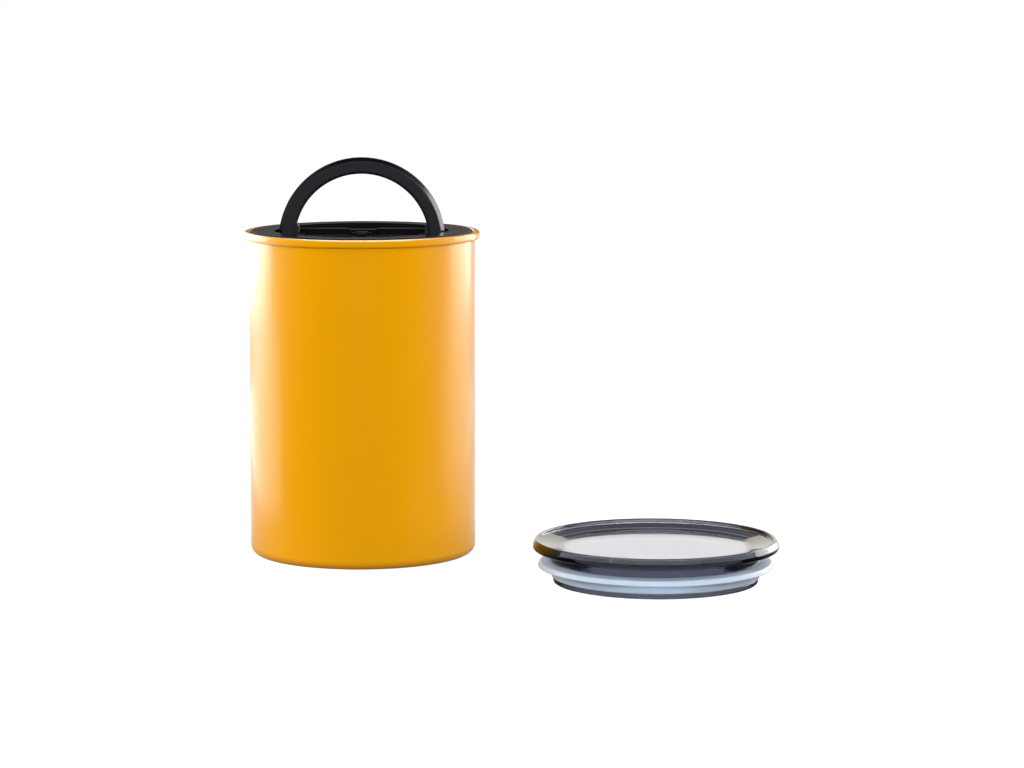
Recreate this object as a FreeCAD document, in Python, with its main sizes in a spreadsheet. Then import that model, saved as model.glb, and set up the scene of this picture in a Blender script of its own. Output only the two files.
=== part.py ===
import FreeCAD, Part
import math
import os
from types import SimpleNamespace

import Sketcher
from FreeCAD import Vector

# Coffee canister with a plunger lid, a crank-driven vent valve and a loose outer lid.
# Millimetres and degrees, +Z up. The origin is the centre of the canister's base, and the front is -Y.
# The handle stands up and the valve is open. Folding the handle forward turns the crank and shuts the valve.

SIZES = {
    # Canister: a drawn steel can with an outward rolled rim and a stamped base panel
    "body_radius": 61.0,
    "canister_height": 175.2,
    "steel_gauge": 0.6,
    "curl_width": 3.1,
    "curl_height": 4.4,
    "curl_gap": 0.5,
    "curl_round_share": 0.46,
    "base_corner": 5.0,
    "base_panel_inset": 10.0,
    "base_panel_rise": 1.0,
    "base_panel_slope": 2.0,
    # Plunger lid: upper moulding
    "lid_proud": 0.3,
    "lid_gap": 0.5,
    "lid_wall": 2.0,
    "flange_thickness": 3.0,
    "flange_round": 1.2,
    "recess_edge_round": 0.6,
    "skirt_inset": 2.3,
    "screw_channel": 6.8,
    "recess_depth": 11.7,
    "boss_merge": 0.2,
    "floor_vent_count": 6,
    "floor_vent_radius": 1.8,
    "floor_vent_gap": 3.6,
    # Plunger lid: deck plate at the back of the recess
    "deck_gap": 0.3,
    "deck_wall": 2.0,
    "deck_setback": 14.0,
    "deck_round": 0.5,
    "tongue_reach": 6.5,
    "tongue_tip_width": 14.0,
    "tongue_base_width": 17.8,
    "deck_boss_radius": 3.0,
    "deck_boss_gap": 4.2,
    "deck_boss_turn": 41.0,
    # Handle: a half ring with rounded ends
    "recess_gap": 1.9,
    "grip_width": 8.7,
    "grip_depth": 9.0,
    "grip_bevel_width": 2.1,
    "grip_bevel_depth": 2.6,
    "grip_bevel_round": 0.4,
    "grip_inner_round": 1.6,
    "handle_floor_gap": 1.2,
    "hub_boss_radius": 3.4,
    "hub_boss_length": 2.4,
    "shoulder_rise": 7.5,
    "shoulder_slope": 8.0,
    "shoulder_round": 3.0,
    # Half shafts, crank and bearing blocks
    "shaft_radius": 3.0,
    "journal_radius": 2.0,
    "running_clearance": 0.06,
    "bearing_gap": 0.3,
    "bearing_thickness": 3.0,
    "bearing_wall": 2.6,
    "bearing_foot_length": 16.8,
    "bearing_foot_height": 3.2,
    "key_width": 2.6,
    "key_length": 7.0,
    "key_clearance": 0.05,
    "key_end_gap": 0.4,
    "crank_throw": 2.12,
    "crank_lead": 45.0,
    "crank_pin_radius": 1.3,
    "web_thickness": 2.0,
    "round_end_share": 0.94,
    "press_clearance": 0.02,
    # Valve: stem with yoke, plug, clip and guide bush
    "yoke_width": 6.0,
    "yoke_side_gap": 0.2,
    "yoke_gap": 0.3,
    "yoke_wall": 1.8,
    "yoke_round": 1.2,
    "stem_radius": 2.5,
    "stem_clearance": 0.08,
    "stem_gap": 0.5,
    "collar_radius": 5.0,
    "collar_thickness": 1.0,
    "tip_radius": 1.8,
    "tip_reach": 1.0,
    "plug_radius": 9.5,
    "plug_thickness": 2.6,
    "plug_bevel": 1.0,
    "clip_radius": 4.2,
    "clip_thickness": 1.0,
    "bush_radius": 4.2,
    "bush_flange_radius": 6.5,
    "bush_flange_thickness": 1.2,
    # Plunger lid: lower cover with the valve seat and the vent grille, and the wiper gasket
    "cover_thickness": 3.0,
    "cover_round": 0.8,
    "seat_height": 3.0,
    "seat_wall": 2.0,
    "vent_radius": 6.0,
    "closing_gap": 0.2,
    "grille_bar_width": 1.4,
    "grille_thickness": 1.5,
    "grille_merge": 0.4,
    "gasket_web": 2.2,
    "gasket_inset": 0.5,
    "wipe_gap": 0.3,
    "lip_root": 1.2,
    "lip_root_gap": 0.3,
    "lip_reach": 3.2,
    "lip_tip": 0.7,
    # Screws
    "screw_radius": 1.2,
    "screw_clearance": 0.05,
    "screw_head_radius": 2.4,
    "screw_head_height": 1.6,
    "screw_head_gap": 0.2,
    "screw_end_gap": 0.5,
    "cover_screw_count": 6,
    "cover_screw_grip": 5.5,
    "small_screw_grip": 2.6,
    "bearing_screw_inset": 2.2,
    # Loose outer lid and its gasket
    "loose_lid_right": 155.5,
    "loose_lid_forward": 87.8,
    "outer_rim_overhang": 0.4,
    "outer_rim_height": 5.4,
    "outer_rim_round": 2.0,
    "outer_rim_inner_round": 0.8,
    "outer_rim_under_round": 1.3,
    "outer_rim_width": 3.2,
    "outer_rim_step": 1.7,
    "outer_step_round": 0.6,
    "dish_depth": 4.2,
    "dish_slope": 10.8,
    "dish_round": 2.0,
    "panel_thickness": 2.0,
    "neck_inset": 5.4,
    "neck_height": 5.6,
    "neck_wall": 2.0,
    "groove_depth": 3.6,
    "groove_height": 8.7,
    "foot_flange_height": 2.7,
    "foot_flange_inset": 1.8,
    "foot_round": 0.6,
    "outer_gasket_gap": 0.1,
    "outer_band_proud": 0.9,
    "outer_flap_squeeze": 0.8,
    "outer_flap_root": 1.8,
    "outer_flap_fall": 0.5,
    "outer_flap_lean": 0.8,
    "outer_flap_drop": 3.2,
    "outer_flap_wall": 1.2,
    "outer_flap_tip": 0.9,
    "outer_flap_bend": 1.2,
    "outer_flap_hollow": 0.8,
    "outer_flap_round": 0.3,
    "outer_band_round": 0.6,
}

FULL_TURN = 360
HALF_TURN = 180
LEFT, RIGHT = -1, 1


class Size:
    """A number together with the sheet expression that it comes from."""

    def __init__(self, value, text):
        self.value = value
        self.text = text

    def joined(self, sign, other, value):
        return Size(value, f"({self.text} {sign} {other.text})")

    def __add__(self, other):
        return self.joined("+", other, self.value + other.value)

    def __sub__(self, other):
        return self.joined("-", other, self.value - other.value)

    def __mul__(self, other):
        return self.joined("*", other, self.value * other.value)

    def __neg__(self):
        return Size(-self.value, f"(0 - {self.text})")

    def times(self, factor):
        return Size(self.value * factor, f"({self.text} * {factor})")

    def half(self):
        return Size(self.value / 2, f"({self.text} / 2)")

    def turned(self, angle, ratio):
        """This length times the named ratio, sin or cos, of an angle in degrees."""
        share = getattr(math, ratio)(math.radians(angle.value))
        return Size(self.value * share, f"({self.text} * {ratio}({angle.text} * 1 deg))")


ZERO = Size(0, "0")

doc = FreeCAD.newDocument("CoffeeCanister")
sheet = doc.addObject("Spreadsheet::Sheet", "Sizes")
for row, (alias, number) in enumerate(SIZES.items(), start=1):
    sheet.set(f"A{row}", alias)
    sheet.set(f"B{row}", str(number))
    sheet.setAlias(f"B{row}", alias)
doc.recompute()
s = SimpleNamespace(**{alias: Size(number, f"Sizes.{alias}") for alias, number in SIZES.items()})


# Radii, worked inwards from the canister's wall
mouth_radius = s.body_radius - s.steel_gauge
rim_radius = mouth_radius + s.curl_width
curl_round = s.curl_width * s.curl_round_share
flange_radius = mouth_radius - s.lid_gap
wipe_radius = mouth_radius - s.wipe_gap
skirt_radius = flange_radius - s.skirt_inset
skirt_bore = skirt_radius - s.lid_wall
recess_wall_radius = skirt_bore - s.screw_channel
recess_radius = recess_wall_radius - s.lid_wall
screw_circle = skirt_bore - s.screw_channel.half()
grip_radius = recess_radius - s.recess_gap
grip_bore = grip_radius - s.grip_width
deck_radius = recess_radius - s.deck_gap

# Places along the handle's pivot, worked inwards from its right leg
hub_face = grip_bore - s.hub_boss_length
bearing_outer = hub_face - s.bearing_gap
bearing_inner = bearing_outer - s.bearing_thickness
bearing_middle = bearing_outer - s.bearing_thickness.half()
shaft_end = bearing_inner - s.bearing_gap
web_inner = s.yoke_width.half() + s.yoke_side_gap
web_outer = web_inner + s.web_thickness

# Crank: its pin swings as far above as below the pivot, in front of it, and the yoke hangs on the lid's axis
crank_rise = s.crank_throw.turned(s.crank_lead, "cos")
crank_near = s.crank_throw.turned(s.crank_lead, "sin")
valve_lift = crank_rise.times(2)
pivot_back = (s.crank_throw + crank_near).half()
crank_stray = (s.crank_throw - crank_near).half()

# Heights, worked downwards from the flange of the plunger lid
flange_top = s.canister_height + s.lid_proud
flange_under = flange_top - s.flange_thickness
recess_floor = flange_top - s.recess_depth
floor_under = recess_floor - s.lid_wall
pivot_height = recess_floor + s.handle_floor_gap + s.grip_depth.half()
yoke_height = pivot_height + crank_rise
bush_under = floor_under - s.bush_flange_thickness
collar_top = bush_under - s.stem_gap
plug_top = collar_top - s.collar_thickness
plug_under = plug_top - s.plug_thickness
clip_under = plug_under - s.clip_thickness
seat_top = plug_under - valve_lift - s.closing_gap
cover_top = seat_top - s.seat_height
cover_under = cover_top - s.cover_thickness
skirt_under = cover_top + s.gasket_web

# Screw seats, holes and places
screw_hole = s.screw_radius + s.screw_clearance
head_pocket = s.screw_head_height + s.screw_head_gap
bearing_screw_reach = s.bearing_foot_length.half() - s.bearing_screw_inset
deck_boss_circle = deck_radius - s.deck_wall - s.deck_boss_gap - s.deck_boss_radius
deck_boss_side = deck_boss_circle.turned(s.deck_boss_turn, "cos")
deck_boss_back = deck_boss_circle.turned(s.deck_boss_turn, "sin")
bearing_places = [
    (bearing_middle.times(side), pivot_back + bearing_screw_reach.times(end))
    for side in (LEFT, RIGHT)
    for end in (LEFT, RIGHT)
]
deck_places = [(deck_boss_side.times(side), deck_boss_back) for side in (LEFT, RIGHT)]


# Drawing and feature helpers
def new_body(label, x=ZERO, y=ZERO, z=ZERO):
    """A body with its own label, whose place is bound to the sheet."""
    body = doc.addObject("PartDesign::Body", label)
    body.Label = label
    for name, amount in (("x", x), ("y", y), ("z", z)):
        body.setExpression(f"Placement.Base.{name}", amount.text)
    return body


def new_sketch(body, role, lift=ZERO):
    """A sketch on one of the body's own origin planes, lifted off it along its normal."""
    sketch = body.newObject("Sketcher::SketchObject", f"{body.Label}_sketch")
    plane = next(feature for feature in body.Origin.OriginFeatures if feature.Role == role)
    sketch.AttachmentSupport = [(plane, "")]
    sketch.MapMode = "FlatFace"
    sketch.setExpression("AttachmentOffset.Base.z", lift.text)
    return sketch


def fix(sketch, kind, where, amount):
    """Add one dimension and bind it to the sheet."""
    index = sketch.addConstraint(Sketcher.Constraint(kind, *where, amount.value))
    sketch.setExpression(f"Constraints[{index}]", amount.text)


def pin_point(sketch, geometry, end, x, y):
    """Hold one point of a sketch at x, y from its origin."""
    for kind, axis, amount in (("DistanceX", -2, x), ("DistanceY", -1, y)):
        if amount is ZERO:
            sketch.addConstraint(Sketcher.Constraint("PointOnObject", geometry, end, axis))
        else:
            fix(sketch, kind, (-1, 1, geometry, end), amount)


def outline(sketch, corners):
    """Draw a closed outline through corners of (x, y), or (x, y, radius) where the corner is rounded."""
    spots = [Vector(corner[0].value, corner[1].value, 0) for corner in corners]
    count = len(corners)
    enters = list(spots)
    leaves = list(spots)
    arcs = {}
    for i, corner in enumerate(corners):
        if len(corner) == 2:
            continue
        back = (spots[i - 1] - spots[i]).normalize()
        ahead = (spots[(i + 1) % count] - spots[i]).normalize()
        half_angle = back.getAngle(ahead) / 2
        run = corner[2].value / math.tan(half_angle)
        enters[i] = spots[i] + back * run
        leaves[i] = spots[i] + ahead * run
        centre = spots[i] + (back + ahead).normalize() * (corner[2].value / math.sin(half_angle))
        turns_left = ahead.cross(back).z > 0
        first, last = (enters[i], leaves[i]) if turns_left else (leaves[i], enters[i])
        start = math.atan2(first.y - centre.y, first.x - centre.x)
        stop = math.atan2(last.y - centre.y, last.x - centre.x)
        ring = Part.Circle(centre, Vector(0, 0, 1), corner[2].value)
        arc = Part.ArcOfCircle(ring, start, stop if stop > start else stop + math.tau)
        arcs[i] = (arc, (1, 2) if turns_left else (2, 1))
    lines = [
        sketch.addGeometry(Part.LineSegment(leaves[i], enters[(i + 1) % count]), False)
        for i in range(count)
    ]
    for i, corner in enumerate(corners):
        if i not in arcs:
            sketch.addConstraint(Sketcher.Constraint("Coincident", lines[i - 1], 2, lines[i], 1))
            pin_point(sketch, lines[i], 1, corner[0], corner[1])
            continue
        arc, (enter_end, leave_end) = arcs[i]
        bend = sketch.addGeometry(arc, False)
        point = sketch.addGeometry(Part.Point(spots[i]), True)
        pin_point(sketch, point, 1, corner[0], corner[1])
        sketch.addConstraint(
            [
                Sketcher.Constraint("PointOnObject", point, 1, lines[i - 1]),
                Sketcher.Constraint("PointOnObject", point, 1, lines[i]),
                Sketcher.Constraint("Tangent", lines[i - 1], 2, bend, enter_end),
                Sketcher.Constraint("Tangent", bend, leave_end, lines[i], 1),
            ]
        )
        fix(sketch, "Radius", (bend,), corner[2])
    return sketch


def box_outline(sketch, x_low, x_high, y_low, y_high, rounding=None):
    """Draw a rectangle, with one rounding at all its corners where it is given."""
    corners = [(x_low, y_low), (x_high, y_low), (x_high, y_high), (x_low, y_high)]
    if rounding is not None:
        corners = [(*corner, rounding) for corner in corners]
    return outline(sketch, corners)


def circles(sketch, places, radius):
    """Draw a circle of one radius at each place."""
    for x, y in places:
        ring = Part.Circle(Vector(x.value, y.value, 0), Vector(0, 0, 1), radius.value)
        geometry = sketch.addGeometry(ring, False)
        pin_point(sketch, geometry, 3, x, y)
        fix(sketch, "Radius", (geometry,), radius)
    return sketch


def half_moon(sketch, radius, setback, tongue_front, tip_half, base_half):
    """Draw the part of a disc that lies behind a straight edge with a tongue in its middle."""
    end = math.sqrt(radius.value**2 - setback.value**2)
    turn = math.asin(setback.value / radius.value)
    disc = Part.Circle(Vector(0, 0, 0), Vector(0, 0, 1), radius.value)
    arc = sketch.addGeometry(Part.ArcOfCircle(disc, turn, math.pi - turn), False)
    sketch.addConstraint(Sketcher.Constraint("Coincident", arc, 3, -1, 1))
    fix(sketch, "Radius", (arc,), radius)
    edge = [(-base_half, setback), (-tip_half, tongue_front), (tip_half, tongue_front), (base_half, setback)]
    spots = [Vector(x.value, y.value, 0) for x, y in edge]
    spots = [Vector(-end, setback.value, 0), *spots, Vector(end, setback.value, 0)]
    lines = [sketch.addGeometry(Part.LineSegment(a, b), False) for a, b in zip(spots, spots[1:])]
    for i, (x, y) in enumerate(edge):
        sketch.addConstraint(Sketcher.Constraint("Coincident", lines[i], 2, lines[i + 1], 1))
        pin_point(sketch, lines[i + 1], 1, x, y)
    for line, line_end, arc_end in ((lines[0], 1, 2), (lines[-1], 2, 1)):
        sketch.addConstraint(Sketcher.Constraint("Coincident", line, line_end, arc, arc_end))
        fix(sketch, "DistanceY", (-1, 1, line, line_end), setback)
    return sketch


def pad(body, sketch, length, middle=False, reverse=False):
    """Raise a sketch along its normal, or evenly to both sides of it."""
    feature = body.newObject("PartDesign::Pad", f"{body.Label}_pad")
    feature.Profile = sketch
    feature.setExpression("Length", length.text)
    feature.SideType = "Symmetric" if middle else "One side"
    feature.Reversed = reverse
    return feature


def pocket(body, sketch, depth=None, middle=False, along_normal=False):
    """Cut a sketch into the body by a depth, or right through it."""
    feature = body.newObject("PartDesign::Pocket", f"{body.Label}_pocket")
    feature.Profile = sketch
    feature.SideType = "Symmetric" if middle else "One side"
    feature.Reversed = along_normal
    if depth is None:
        feature.Type = "ThroughAll"
    else:
        feature.setExpression("Length", depth.text)
    return feature


def revolve(body, sketch, axis="V_Axis", angle=FULL_TURN, reverse=False):
    """Turn a sketch about one of its own axes."""
    feature = body.newObject("PartDesign::Revolution", f"{body.Label}_turned")
    feature.Profile = sketch
    feature.ReferenceAxis = (sketch, [axis])
    feature.Angle = angle
    feature.Reversed = reverse
    return feature


def ring_pattern(body, feature, count):
    """Repeat a feature evenly about the body's upright axis."""
    pattern = body.newObject("PartDesign::PolarPattern", f"{body.Label}_ring")
    pattern.Originals = [feature]
    axis = next(part for part in body.Origin.OriginFeatures if part.Role == "Z_Axis")
    pattern.Axis = (axis, [""])
    pattern.Angle = FULL_TURN
    pattern.setExpression("Occurrences", count.text)
    body.Tip = pattern
    return pattern


def turned_body(label, corners, **place):
    """A body that is one profile of (radius, height) corners turned about the upright axis."""
    body = new_body(label, **place)
    revolve(body, outline(new_sketch(body, "XZ_Plane"), corners))
    return body


def drilled(body, places, radius, start, depth=None):
    """Drill holes upwards from a height, or right through the body."""
    sketch = circles(new_sketch(body, "XY_Plane", start), places, radius)
    return pocket(body, sketch, depth, along_normal=True)


# Canister
def canister_shell():
    """The can: base panel, corner, wall and the rolled rim, one sheet thick all the way."""
    gauge = s.steel_gauge
    top = s.canister_height
    curl_low = top - s.curl_height
    curl_end = s.body_radius + s.curl_gap
    inner_round = curl_round - gauge
    panel = s.body_radius - s.base_panel_inset
    foot = panel + s.base_panel_slope
    rise = s.base_panel_rise
    return turned_body(
        "canister_shell",
        [
            (ZERO, rise),
            (panel, rise),
            (foot, ZERO),
            (s.body_radius, ZERO, s.base_corner),
            (s.body_radius, top - gauge, inner_round),
            (rim_radius - gauge, top - gauge, inner_round),
            (rim_radius - gauge, curl_low + gauge, inner_round),
            (curl_end, curl_low + gauge),
            (curl_end, curl_low),
            (rim_radius, curl_low, curl_round),
            (rim_radius, top, curl_round),
            (mouth_radius, top, curl_round),
            (mouth_radius, gauge, s.base_corner - gauge),
            (foot, gauge),
            (panel, rise + gauge),
            (ZERO, rise + gauge),
        ],
    )


# Plunger lid
def lid_top():
    """Upper moulding: flange, handle recess and skirt, with screw bosses, vents and screw holes."""
    bush_hole = s.bush_radius + s.press_clearance
    body = turned_body(
        "lid_top",
        [
            (bush_hole, floor_under),
            (recess_wall_radius, floor_under),
            (recess_wall_radius, flange_under),
            (skirt_bore, flange_under),
            (skirt_bore, skirt_under),
            (skirt_radius, skirt_under),
            (skirt_radius, flange_under),
            (flange_radius, flange_under),
            (flange_radius, flange_top, s.flange_round),
            (recess_radius, flange_top, s.recess_edge_round),
            (recess_radius, recess_floor),
            (bush_hole, recess_floor),
        ],
    )
    place = [(screw_circle, ZERO)]
    boss_radius = s.screw_channel.half() + s.boss_merge
    boss = circles(new_sketch(body, "XY_Plane", cover_top), place, boss_radius)
    ring_pattern(body, pad(body, boss, flange_under - cover_top), s.cover_screw_count)
    hole = drilled(body, place, screw_hole, cover_top, s.cover_screw_grip + s.screw_end_gap)
    ring_pattern(body, hole, s.cover_screw_count)
    vent_place = (s.bush_flange_radius + s.floor_vent_gap + s.floor_vent_radius, ZERO)
    vent = drilled(body, [vent_place], s.floor_vent_radius, floor_under, s.lid_wall)
    ring_pattern(body, vent, s.floor_vent_count)
    body.Tip = drilled(body, bearing_places + deck_places, screw_hole, floor_under, s.lid_wall)
    return body


def deck_plate():
    """Hollow half-moon deck with a tongue, standing on the recess floor on its walls and two bosses."""
    body = new_body("deck_plate")
    front = s.deck_setback - s.tongue_reach
    tip_half = s.tongue_tip_width.half()
    base_half = s.tongue_base_width.half()
    height = flange_top - recess_floor
    room = height - s.deck_wall
    shape = new_sketch(body, "XY_Plane", recess_floor)
    block = pad(body, half_moon(shape, deck_radius, s.deck_setback, front, tip_half, base_half), height)
    doc.recompute()
    edges = [
        f"Edge{number}"
        for number, edge in enumerate(block.Shape.Edges, start=1)
        if min(vertex.Z for vertex in edge.Vertexes) > flange_top.value - s.deck_round.value
    ]
    rounding = body.newObject("PartDesign::Fillet", "deck_plate_rounding")
    rounding.Base = (block, edges)
    rounding.setExpression("Radius", s.deck_round.text)
    wall = s.deck_wall
    hollow = new_sketch(body, "XY_Plane", recess_floor)
    half_moon(
        hollow,
        deck_radius - wall,
        s.deck_setback + wall,
        front + wall,
        tip_half - wall,
        base_half - wall,
    )
    pocket(body, hollow, room, along_normal=True)
    bosses = circles(new_sketch(body, "XY_Plane", recess_floor), deck_places, s.deck_boss_radius)
    pad(body, bosses, room + wall.half())
    body.Tip = drilled(body, deck_places, screw_hole, recess_floor, s.small_screw_grip + s.screw_end_gap)
    return body


def bottom_cover():
    """Lower cover with the raised valve seat, the crossed vent grille and counterbored screw holes."""
    seat_radius = s.vent_radius + s.seat_wall
    body = turned_body(
        "bottom_cover",
        [
            (s.vent_radius, cover_under),
            (skirt_radius, cover_under, s.cover_round),
            (skirt_radius, cover_top),
            (seat_radius, cover_top),
            (seat_radius, seat_top),
            (s.vent_radius, seat_top),
        ],
    )
    bar_half = s.grille_bar_width.half()
    bar_reach = s.vent_radius + s.grille_merge
    for x_half, y_half in ((bar_reach, bar_half), (bar_half, bar_reach)):
        bar = new_sketch(body, "XY_Plane", cover_under)
        pad(body, box_outline(bar, -x_half, x_half, -y_half, y_half), s.grille_thickness)
    place = [(screw_circle, ZERO)]
    seat_hole = s.screw_head_radius + s.screw_head_gap
    ring_pattern(body, drilled(body, place, seat_hole, cover_under, head_pocket), s.cover_screw_count)
    hole = drilled(body, place, screw_hole, cover_under, s.cover_thickness)
    ring_pattern(body, hole, s.cover_screw_count)
    return body


def wiper_gasket():
    """Silicone ring clamped under the skirt, with one lip turned up and one turned down."""
    root = skirt_radius + s.lip_root_gap
    notch = root + s.lip_root
    tip = wipe_radius - s.lip_tip
    low = cover_top - s.lip_reach
    high = skirt_under + s.lip_reach
    inner = skirt_bore + s.gasket_inset
    return turned_body(
        "wiper_gasket",
        [
            (inner, cover_top),
            (root, cover_top),
            (tip, low),
            (wipe_radius, low),
            (notch, cover_top + s.gasket_web.half()),
            (wipe_radius, high),
            (tip, high),
            (root, skirt_under),
            (inner, skirt_under),
        ],
    )


def screws(label, places, seat, grip):
    """A group of pan-head screws that point up, with their heads under a seat."""
    body = new_body(label)
    body.AllowCompound = True
    heads = circles(new_sketch(body, "XY_Plane", seat), places, s.screw_head_radius)
    pad(body, heads, s.screw_head_height, reverse=True)
    shanks = circles(new_sketch(body, "XY_Plane", seat), places, s.screw_radius)
    body.Tip = pad(body, shanks, grip)
    return body


def cover_screws():
    """Screws that hold the cover to the bosses of the upper moulding."""
    body = new_body("cover_screws")
    body.AllowCompound = True
    seat = cover_under + head_pocket
    place = [(screw_circle, ZERO)]
    head_circle = circles(new_sketch(body, "XY_Plane", seat), place, s.screw_head_radius)
    head = pad(body, head_circle, s.screw_head_height, reverse=True)
    shank_circle = circles(new_sketch(body, "XY_Plane", seat), place, s.screw_radius)
    shank = pad(body, shank_circle, cover_top - seat + s.cover_screw_grip)
    pattern = ring_pattern(body, head, s.cover_screw_count)
    pattern.Originals = [head, shank]
    return body


def bearing_block(label, side):
    """Block that carries one journal of the handle's shaft, with a foot on the recess floor."""
    body = new_body(label)
    reach = s.bearing_foot_length.half()
    cheek = s.journal_radius + s.bearing_wall
    foot_top = recess_floor + s.bearing_foot_height
    crown = cheek * s.round_end_share
    shape = new_sketch(body, "YZ_Plane", bearing_middle.times(side))
    outline(
        shape,
        [
            (pivot_back - reach, recess_floor),
            (pivot_back + reach, recess_floor),
            (pivot_back + reach, foot_top),
            (pivot_back + cheek, foot_top),
            (pivot_back + cheek, pivot_height + cheek, crown),
            (pivot_back - cheek, pivot_height + cheek, crown),
            (pivot_back - cheek, foot_top),
            (pivot_back - reach, foot_top),
        ],
    )
    pad(body, shape, s.bearing_thickness, middle=True)
    bore = new_sketch(body, "YZ_Plane", bearing_middle.times(side))
    circles(bore, [(pivot_back, pivot_height)], s.journal_radius + s.running_clearance)
    pocket(body, bore, s.bearing_thickness.times(2), middle=True)
    places = [place for place in bearing_places if place[0].value * side > 0]
    body.Tip = drilled(body, places, screw_hole, recess_floor, s.small_screw_grip + s.screw_end_gap)
    return body


def stem_bush():
    """Guide bush pressed into the recess floor from below."""
    bore = s.stem_radius + s.stem_clearance
    return turned_body(
        "stem_bush",
        [
            (bore, bush_under),
            (s.bush_flange_radius, bush_under),
            (s.bush_flange_radius, floor_under),
            (s.bush_radius, floor_under),
            (s.bush_radius, recess_floor),
            (bore, recess_floor),
        ],
    )


# Handle and crank
def handle():
    """Bevelled half ring with rounded ends, a shoulder inside each leg and a square key socket in it."""
    body = new_body("handle", y=pivot_back, z=pivot_height)
    depth = s.grip_depth.half()
    edge = grip_radius - s.grip_bevel_width
    bevel = depth - s.grip_bevel_depth
    section = [
        (grip_bore, -depth, s.grip_inner_round),
        (edge, -depth, s.grip_bevel_round),
        (grip_radius, -bevel, s.grip_bevel_round),
        (grip_radius, bevel, s.grip_bevel_round),
        (edge, depth, s.grip_bevel_round),
        (grip_bore, depth, s.grip_inner_round),
    ]
    revolve(body, outline(new_sketch(body, "XY_Plane"), section), angle=HALF_TURN, reverse=True)
    half_section = [(grip_bore, ZERO), (grip_radius, ZERO), *section[3:]]
    end = revolve(body, outline(new_sketch(body, "XY_Plane"), half_section), "H_Axis", HALF_TURN, True)
    boss_sketch = circles(new_sketch(body, "YZ_Plane", hub_face), [(ZERO, ZERO)], s.hub_boss_radius)
    boss = pad(body, boss_sketch, s.hub_boss_length)
    shoulder_root = grip_bore + s.grip_inner_round
    shoulder_sketch = outline(
        new_sketch(body, "XZ_Plane"),
        [
            (hub_face, ZERO),
            (shoulder_root, ZERO),
            (shoulder_root, s.shoulder_rise + s.shoulder_slope),
            (hub_face, s.shoulder_rise, s.shoulder_round),
        ],
    )
    shoulder = pad(body, shoulder_sketch, s.hub_boss_radius.times(2), middle=True)
    socket_half = s.key_width.half() + s.key_clearance
    socket_sketch = new_sketch(body, "YZ_Plane", hub_face)
    box_outline(socket_sketch, -socket_half, socket_half, -socket_half, socket_half)
    socket = pocket(body, socket_sketch, s.key_length + s.key_end_gap, along_normal=True)
    mirror = body.newObject("PartDesign::Mirrored", "handle_mirror")
    mirror.Originals = [end, boss, shoulder, socket]
    plane = next(part for part in body.Origin.OriginFeatures if part.Role == "YZ_Plane")
    mirror.MirrorPlane = (plane, [""])
    body.Tip = mirror
    return body


def half_shaft(label, side):
    """Half of the handle's shaft: square key, journal, shaft and crank web with the pin's hole."""
    body = new_body(label, y=pivot_back, z=pivot_height)
    body.Placement.Rotation = FreeCAD.Rotation(Vector(1, 0, 0), s.crank_lead.value)
    body.setExpression("Placement.Rotation.Angle", s.crank_lead.text)
    to_right = side == RIGHT
    web_half = s.shaft_radius
    web = new_sketch(body, "YZ_Plane", web_inner.times(side))
    web_top = s.crank_throw + s.shaft_radius
    box_outline(web, -web_half, web_half, -web_half, web_top, s.shaft_radius * s.round_end_share)
    pad(body, web, s.web_thickness, reverse=not to_right)
    for start, stop, radius in (
        (web_outer, shaft_end, s.shaft_radius),
        (shaft_end, hub_face, s.journal_radius),
    ):
        rod = circles(new_sketch(body, "YZ_Plane", start.times(side)), [(ZERO, ZERO)], radius)
        pad(body, rod, stop - start, reverse=not to_right)
    key_half = s.key_width.half()
    key = new_sketch(body, "YZ_Plane", hub_face.times(side))
    key.setExpression("AttachmentOffset.Rotation.Angle", (-s.crank_lead).text)
    box_outline(key, -key_half, key_half, -key_half, key_half)
    pad(body, key, s.key_length, reverse=not to_right)
    hole = new_sketch(body, "YZ_Plane", web_inner.times(side))
    circles(hole, [(ZERO, s.crank_throw)], s.crank_pin_radius + s.press_clearance)
    body.Tip = pocket(body, hole, s.web_thickness, along_normal=to_right)
    return body


def crank_pin():
    """Steel pin between the two crank webs."""
    body = new_body("crank_pin", y=pivot_back, z=pivot_height)
    body.Placement.Rotation = FreeCAD.Rotation(Vector(1, 0, 0), s.crank_lead.value)
    body.setExpression("Placement.Rotation.Angle", s.crank_lead.text)
    shape = circles(new_sketch(body, "YZ_Plane"), [(ZERO, s.crank_throw)], s.crank_pin_radius)
    pad(body, shape, web_outer.times(2), middle=True)
    return body


# Valve
def valve_stem():
    """Stem with a collar and a tip for the plug, and a yoke with a slot for the crank pin."""
    slot_rise = s.crank_pin_radius + s.yoke_gap
    slot_reach = slot_rise + crank_stray
    yoke_rise = slot_rise + s.yoke_wall
    yoke_reach = slot_reach + s.yoke_wall
    yoke_under = yoke_height - yoke_rise
    tip_under = clip_under - s.tip_reach
    body = turned_body(
        "valve_stem",
        [
            (ZERO, tip_under),
            (s.tip_radius, tip_under),
            (s.tip_radius, plug_top),
            (s.collar_radius, plug_top),
            (s.collar_radius, collar_top),
            (s.stem_radius, collar_top),
            (s.stem_radius, yoke_under + s.yoke_wall.half()),
            (ZERO, yoke_under + s.yoke_wall.half()),
        ],
    )
    head = new_sketch(body, "YZ_Plane")
    box_outline(head, -yoke_reach, yoke_reach, yoke_under, yoke_height + yoke_rise, s.yoke_round)
    pad(body, head, s.yoke_width, middle=True)
    slot = new_sketch(body, "YZ_Plane")
    slot_round = slot_rise * s.round_end_share
    box_outline(slot, -slot_reach, slot_reach, yoke_height - slot_rise, yoke_height + slot_rise, slot_round)
    body.Tip = pocket(body, slot, s.yoke_width.times(2), middle=True)
    return body


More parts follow.
